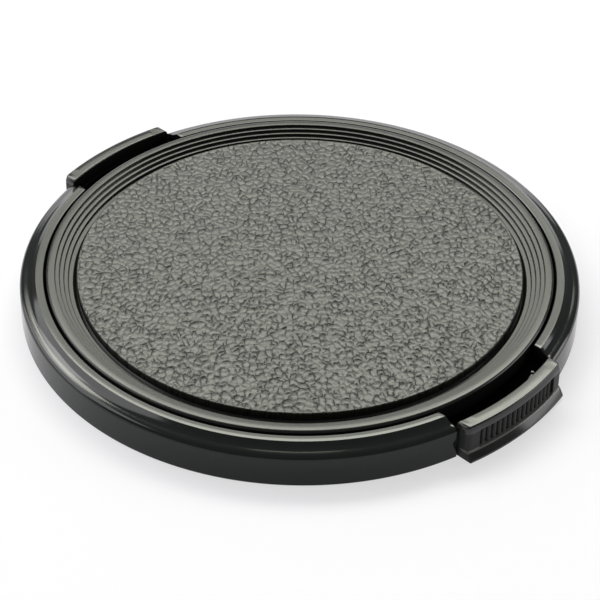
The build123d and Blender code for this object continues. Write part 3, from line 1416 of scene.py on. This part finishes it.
@dataclass
class ReleaseTab:
    """Finger grip with a ribbed panel, web, threaded claw and slider of one tab."""

    layout: SlideLayout
    side: Side
    low: float
    height: float
    half_width: float
    lip_radius: float
    inner_radius: float = 30.5
    top_radius: float = 31.9
    grip_radius: float = 32.15
    border_height: float = 3.75
    end_rounding: float = 0.45
    end_strips: int = 3
    edge_rounding: float = 0.1
    inner_rounding: float = 0.14
    fold_degrees: float = 45.0
    lip_top: float = 1.3
    lip_edge: float = 0.3
    lip_rounding: float = 0.12
    lip_top_rounding: float = 0.14
    panel_half: float = 5.9
    panel_depth: float = 0.4
    panel_slope: float = 0.55
    panel_strips: int = 32
    rib_count: int = 15
    rib_pitch: float = 0.75
    rib_radius: float = 0.24
    rib_segments: int = 16
    web_low: float = 1.95
    web_high: float = 2.7
    web_outer_radius: float = 31.2
    claw_half: float = 6.5
    claw_low: float = 0.35
    claw_inner_radius: float = 27.75
    claw_root_radius: float = 28.8
    claw_tip_radius: float = 29.2
    claw_ridges: int = 2
    thread_pitch: float = 0.75
    thread_rounding: float = 0.06
    slider_low: float = 1.05
    slider_half: float = 5.0
    slider_end: float = 28.2
    crossbar_half: float = 6.6
    slot_half: float = 0.95
    nub_radius: float = 0.2
    nub_rounding: float = 0.08
    nub_reach: float = 0.26
    nub_height: float = 0.9
    nub_offset: float = 4.2
    nub_segments: int = 20
    wedge_start: float = 2.7
    wedge_setback: float = 0.16
    nearness: float = 0.05
    seam: float = 0.01
    joint_lap: float = 0.3
    small_rounding: float = 0.07
    strips: int = 40

    def stations(self, half: float) -> list[float]:
        """Places of the sections across a bar of a half width."""
        return spread(-half, half, self.strips)

    def grip(self) -> BMesh:
        """Outer block with its recessed panel.

        Returns:
            A closed shell.
        """
        outline = [
            Corner(self.inner_radius, self.low),
            Corner(self.grip_radius, self.low),
            Corner(self.grip_radius, self.lip_top),
            Corner(self.grip_radius, self.border_height),
            Corner(self.top_radius, self.height),
            Corner(self.inner_radius, self.height),
        ]
        stations = spread(-self.half_width, -self.panel_half, self.end_strips)
        stations += spread(-self.panel_half, self.panel_half, self.panel_strips)[1:]
        stations += spread(self.panel_half, self.half_width, self.end_strips)[1:]
        bm, caps = bent_bar(outline, stations)
        self.sink_panel(bm)
        ends = [edge for cap in caps for edge in cap.edges if self.is_outer(middle_of(edge))]
        round_off(bm, ends, self.end_rounding, segments=6)
        inner_top = sharp_edges(bm, self.fold_degrees, self.is_inner_top)
        round_off(bm, inner_top, self.inner_rounding, segments=4)
        round_off(bm, sharp_edges(bm, self.fold_degrees), self.edge_rounding, segments=3)
        return bm

    def sink_panel(self, bm: BMesh) -> None:
        """Sinks the panel into the outer wall, with a sloped upper end.

        Args:
            bm: Skin of the grip.
        """
        faces = [face for face in bm.faces if self.on_panel(face.calc_center_median())]
        moved = bmesh.ops.extrude_face_region(bm, geom=faces)["geom"]
        bmesh.ops.delete(bm, geom=faces, context="FACES")
        for vert in only(BMVert, moved):
            reach = reach_of(vert.co) - self.panel_depth
            vert.co.x = math.sqrt(reach**2 - vert.co.y**2)
            if vert.co.z > self.border_height - WELD:
                vert.co.z -= self.panel_slope

    def on_panel(self, place: Vector) -> bool:
        """Whether a place on the grip lies on the panel."""
        outside = reach_of(place) > self.grip_radius - self.nearness
        return outside and abs(place.y) < self.panel_half and self.lip_top < place.z < self.border_height

    def is_outer(self, place: Vector) -> bool:
        """Whether a place on an end of the grip is on its upper or outer edge."""
        return place.z > self.low + self.nearness and reach_of(place) > self.inner_radius + self.nearness

    def is_inner_top(self, edge: BMEdge) -> bool:
        """Whether an edge is the upper edge on the tab's inner side.

        Args:
            edge: Edge of the grip.

        Returns:
            True for a piece of that edge.
        """
        middle = middle_of(edge)
        inner = reach_of(middle) < self.inner_radius + self.nearness
        along = abs(edge.verts[0].co.y - edge.verts[1].co.y) > WELD
        return inner and along and middle.z > self.height - self.nearness

    def lip(self) -> BMesh:
        """Finger lip that flares out along the foot of the grip.

        Returns:
            A closed shell.
        """
        outline = [
            Corner(self.inner_radius + self.joint_lap, self.low + self.seam),
            Corner(self.lip_radius, self.low, self.lip_rounding),
            Corner(self.lip_radius, self.low + self.lip_edge, self.lip_rounding),
            Corner(self.grip_radius + self.seam, self.lip_top, self.lip_top_rounding),
            Corner(self.inner_radius + self.joint_lap, self.lip_top),
        ]
        bm, caps = bent_bar(outline, self.stations(self.half_width))
        round_off(bm, [edge for cap in caps for edge in cap.edges], self.small_rounding, segments=2)
        return bm

    def ribs(self) -> list[BMesh]:
        """Upright ribs across the panel.

        Returns:
            Closed shells.
        """
        panel_radius = self.grip_radius - self.panel_depth
        length = self.border_height - self.panel_slope / 2.0 - self.lip_top + self.joint_lap
        foot = Matrix.Translation((panel_radius, 0.0, self.lip_top - self.joint_lap))
        end_angle = (self.rib_count - 1) / 2.0 * self.rib_pitch / panel_radius
        shells = []
        for angle in spread(-end_angle, end_angle, self.rib_count - 1):
            rib = rod(self.rib_radius, length, self.rib_segments, self.small_rounding)
            shells.append(placed(rib, Matrix.Rotation(angle, 4, "Z") @ foot))
        return shells

    def claw(self) -> BMesh:
        """Arc with thread ridges that hangs inside the filter ring.

        Returns:
            A closed shell.
        """
        ridges = [Corner(self.claw_root_radius, self.claw_low)]
        for ridge in range(self.claw_ridges):
            root = self.claw_low + ridge * self.thread_pitch
            tip = root + self.thread_pitch / 2.0
            ridges.append(Corner(self.claw_tip_radius, tip, self.thread_rounding))
            ridges.append(Corner(self.claw_root_radius, root + self.thread_pitch, self.thread_rounding))
        outline = [
            Corner(self.claw_inner_radius, self.claw_low),
            *ridges,
            Corner(self.claw_root_radius, self.web_high - self.small_rounding),
            Corner(self.claw_inner_radius, self.web_high - self.small_rounding),
        ]
        return bent_bar(outline, self.stations(self.claw_half))[0]

    def web(self) -> BMesh:
        """Bridge over the filter ring from the claw to the grip.

        Returns:
            A closed shell.
        """
        outline = [
            Corner(self.claw_inner_radius + self.small_rounding, self.web_low),
            Corner(self.web_outer_radius, self.web_low),
            Corner(self.web_outer_radius, self.web_high),
            Corner(self.claw_inner_radius + self.small_rounding, self.web_high),
        ]
        return bent_bar(outline, self.stations(self.half_width - self.small_rounding))[0]

    def slider(self) -> BMesh:
        """Flat slider with its crossbar and the slot for the spring.

        Returns:
            A closed shell.
        """
        layout = self.layout
        right = [
            (self.slider_end, self.slider_half),
            (layout.crossbar_outer, self.slider_half),
            (layout.crossbar_outer, self.crossbar_half),
            (layout.crossbar_inner, self.crossbar_half),
            (layout.crossbar_inner, self.slot_half),
            (layout.slot_end, self.slot_half),
        ]
        left = [(x, -y) for x, y in reversed(right)]
        bm = slab(right + left, self.slider_low, self.web_high + self.seam)
        round_off(bm, bm.edges[:], self.small_rounding, segments=2)
        return bm

    def nose(self) -> BMesh:
        """Pin that centres the spring in the slot."""
        start = self.layout.slot_end - self.layout.nose_length
        return self.layout.lying_nose(start, self.joint_lap, self.small_rounding)

    def gate_nub(self) -> list[BMesh]:
        """Stub of the moulding gate on the inner edge of the right tab, with the wedge that fed it.

        Returns:
            Two closed shells.
        """
        wall = math.sqrt(self.inner_radius**2 - self.nub_offset**2)
        wedge_wall = math.sqrt(self.inner_radius**2 - self.wedge_start**2)
        inside = wall + self.joint_lap
        tip_place = wall - self.nub_reach
        tip_ends = self.nub_offset - self.nub_radius, self.nub_offset + self.nub_radius
        low = self.height - self.nub_height
        tip = rod(self.nub_radius, self.nub_height, self.nub_segments, self.nub_rounding)
        tip = placed(tip, Matrix.Translation((tip_place, self.nub_offset, low)))
        outline = [
            (inside, self.wedge_start),
            (wedge_wall, self.wedge_start),
            (tip_place, tip_ends[0]),
            (tip_place, tip_ends[1]),
            (inside, tip_ends[1]),
        ]
        wedge = slab(outline, low + self.seam, self.height - self.wedge_setback)
        round_off(wedge, wedge.edges[:], self.small_rounding, segments=2)
        return [tip, wedge]

    def build(self) -> bpy.types.Object:
        """Models and dresses the tab.

        Returns:
            The finished piece.
        """
        shells = [self.grip(), self.lip(), *self.ribs(), self.claw(), self.web(), self.slider()]
        shells.append(self.nose())
        if self.side is Side.RIGHT:
            shells += self.gate_nub()
        skin = placed(fused(shells), self.side.turn)
        piece = MOULDED_SHADING.hand_over(skin, self.side.named("pinch_tab_{}"), TAB_PLASTIC.material())
        body, node = self.side.named("{}_tab"), self.side.named("release_tab_{}")
        return registered(piece, body, node)


@dataclass
class CoilSpring:
    """Coil spring behind a slider, close wound at its two ends."""

    layout: SlideLayout
    side: Side
    travel: float
    outer_diameter: float = 1.6
    wire: float = 0.25
    closed_spacing: float = 1.04
    closed_turns: float = 1.5
    active_turns: float = 11.0
    wire_segments: int = 12
    steps_per_turn: int = 24

    @property
    def length(self) -> float:
        """Length of the spring between its seats."""
        return self.layout.spring_end - self.layout.spring_start

    def coil(self) -> BMesh:
        """Winds the wire in three runs: close, open and close.

        Returns:
            The closed skin, on the +X side.
        """
        bm = bmesh.new()
        bmesh.ops.create_circle(bm, cap_ends=True, radius=self.wire / 2.0, segments=self.wire_segments)
        axis_height = self.layout.axis_height
        top = axis_height + (self.outer_diameter - self.wire) / 2.0
        start = Matrix.Translation((self.layout.spring_start + self.wire / 2.0, 0.0, top))
        placed(bm, start @ Matrix.Rotation(QUARTER_TURN, 4, "X"))
        closed_pitch = self.wire * self.closed_spacing
        closed_length = self.closed_turns * closed_pitch
        open_pitch = (self.length - self.wire - 2.0 * closed_length) / self.active_turns
        closed_run = (self.closed_turns, closed_pitch)
        front = bm.faces[:]
        for turns, pitch in (closed_run, (self.active_turns, open_pitch), closed_run):
            steps = round(turns * self.steps_per_turn)
            made = bmesh.ops.spin(
                bm, geom=front, cent=(0.0, 0.0, axis_height), axis=(1, 0, 0), angle=FULL_TURN * turns,
                dvec=(pitch * turns / steps, 0.0, 0.0), steps=steps, use_merge=False, use_duplicate=False)
            front = only(BMFace, made["geom_last"])
        return welded(bm)

    def build(self) -> bpy.types.Object:
        """Models and dresses the spring, and gives it a mesh of its own.

        Returns:
            The finished piece.
        """
        skin = placed(self.coil(), self.side.turn)
        piece = FINE_SHADING.hand_over(skin, self.side.named("coil_{}"), SPRING_STEEL.material())
        registered(piece, "cap_body", self.side.named("spring_{}"))
        joint = self.side.named("{}_tab_press")
        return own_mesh(piece)


# Studio


@dataclass(frozen=True)
class SoftLight:
    """Rectangular soft light in metres, aimed at the cap.

    Its turn is the angle in degrees from straight behind the cap to the camera's left.
    """

    name: str
    turn: float
    elevation: float
    width: float
    depth: float
    radiance: float
    colour: Colour = WHITE
    distance: float = 0.8

    def place(self, behind: float) -> None:
        """Adds the light to the scene.

        Args:
            behind: Azimuth straight behind the cap, as the camera sees it.
        """
        lamp = bpy.data.lights.new(self.name, "AREA")
        lamp.shape = "RECTANGLE"
        lamp.size = self.width
        lamp.size_y = self.depth
        lamp.energy = self.radiance * math.pi * self.width * self.depth
        lamp.color = self.colour
        light = in_scene(self.name, lamp)
        towards = direction(behind + self.turn, self.elevation)
        light.location = towards * self.distance
        light.rotation_mode = "QUATERNION"
        light.rotation_quaternion = towards.to_track_quat("Z", "Y")
        light.visible_camera = False


SOFT_LIGHTS = (
    SoftLight("back_panel", 2.5, 50.5, 0.7, 0.24, 8.4, WARM_WHITE),
    SoftLight("edge_panel", 4.0, 39.5, 0.85, 0.07, 2.6, WARM_WHITE),
    SoftLight("far_panel", 0.0, 34.5, 0.36, 0.07, 3.0, WARM_WHITE),
    SoftLight("near_spot", 0.0, 66.0, 0.12, 0.1, 2.5, WARM_WHITE),
    SoftLight("low_panel", 2.0, 12.0, 0.6, 0.32, 1.8, distance=0.7),
    SoftLight("left_panel", 75.0, 32.0, 0.7, 0.8, 2.2),
    SoftLight("left_spot", 50.0, 43.0, 0.3, 0.2, 4.0),
    SoftLight("right_panel", -80.0, 14.0, 0.5, 0.4, 2.8),
)


@dataclass(frozen=True)
class PhotoCamera:
    """Camera at the photograph's viewing angle, distances in millimetres."""

    azimuth: float = 43.9
    elevation: float = 38.6
    roll: float = 0.849
    distance: float = 246.8
    aim_right: float = 0.041
    aim_up: float = -0.48
    lens: float = 132.0
    sensor: float = 36.0
    nearest: float = 10.0
    farthest: float = 10000.0

    def place(self) -> None:
        """Adds the camera to the scene and makes it the active one."""
        back = direction(self.azimuth, self.elevation)
        right = direction(self.azimuth + 90.0, 0.0)
        turn = Matrix.Rotation(math.radians(self.roll), 3, back)
        right, above = turn @ right, turn @ back.cross(right)
        data = bpy.data.cameras.new("photo_camera")
        data.lens = self.lens
        data.sensor_width = self.sensor
        data.clip_start = self.nearest * MM
        data.clip_end = self.farthest * MM
        camera = in_scene("photo_camera", data)
        place = (back * self.distance + right * self.aim_right + above * self.aim_up) * MM
        axes = Matrix((right, above, back)).transposed().to_4x4()
        camera.matrix_world = Matrix.Translation(place) @ axes
        bpy.context.scene.camera = camera


@dataclass
class Studio:
    """Pale floor, soft lights, even surroundings and the camera, with sizes in metres."""

    camera: PhotoCamera
    lights: Sequence[SoftLight]
    floor_size: float = 5.0
    floor_squares: int = 8
    floor_gap: float = 0.00002
    ambient: float = 0.16

    def floor(self) -> None:
        """Adds the floor."""
        bm = bmesh.new()
        bmesh.ops.create_grid(bm, x_segments=self.floor_squares, y_segments=self.floor_squares,
                              size=self.floor_size / 2.0)
        bmesh.ops.translate(bm, verts=bm.verts[:], vec=(0.0, 0.0, -self.floor_gap))
        floor = in_scene("floor", mesh_of(bm, "floor"))
        floor.data.materials.append(FLOOR_WHITE.material())

    def surroundings(self) -> None:
        """Sets an even pale world."""
        world = bpy.data.worlds.new("studio")
        bpy.context.scene.world = world
        world.use_nodes = True
        background = world.node_tree.nodes["Background"]
        background.inputs["Color"].default_value = (*WHITE, 1.0)
        background.inputs["Strength"].default_value = self.ambient

    def build(self) -> None:
        """Sets up the studio."""
        bpy.context.scene.view_settings.view_transform = "Standard"
        self.floor()
        self.surroundings()
        for light in self.lights:
            light.place(behind=self.camera.azimuth + 180.0)
        self.camera.place()


def main() -> None:
    """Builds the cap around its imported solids, then the studio."""
    logging.basicConfig(level=logging.INFO, format="%(name)s: %(message)s")
    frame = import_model()

    nodes = ("rim_body", "front_plate", "face_disc", "release_tab_right", "spring_right")
    rim, plate, disc, tab, spring = [Extent.of(node) for node in nodes]
    layout = SlideLayout(spring_start=spring.low.x, spring_end=spring.high.x)
    travels = {joint["name"]: joint["range_m"][1] / MM for joint in frame["joints"]}

    RimBody(layout, rim_radius=rim.high.y, crest_height=rim.high.z).build()
    FrontPlate(layout, radius=plate.high.y, low=plate.low.z, height=plate.high.z,
               disc_radius=disc.high.y, floor_height=disc.low.z).build()
    FaceDisc(radius=disc.high.y, low=disc.low.z, height=disc.high.z).build()
    for side in Side:
        ReleaseTab(layout, side, low=tab.low.z, height=tab.high.z, half_width=tab.high.y,
                   lip_radius=tab.high.x).build()
        CoilSpring(layout, side, travel=travels[side.named("{}_tab_press")]).build()
    Studio(PhotoCamera(), SOFT_LIGHTS).build()


if __name__ == "__main__":
    main()
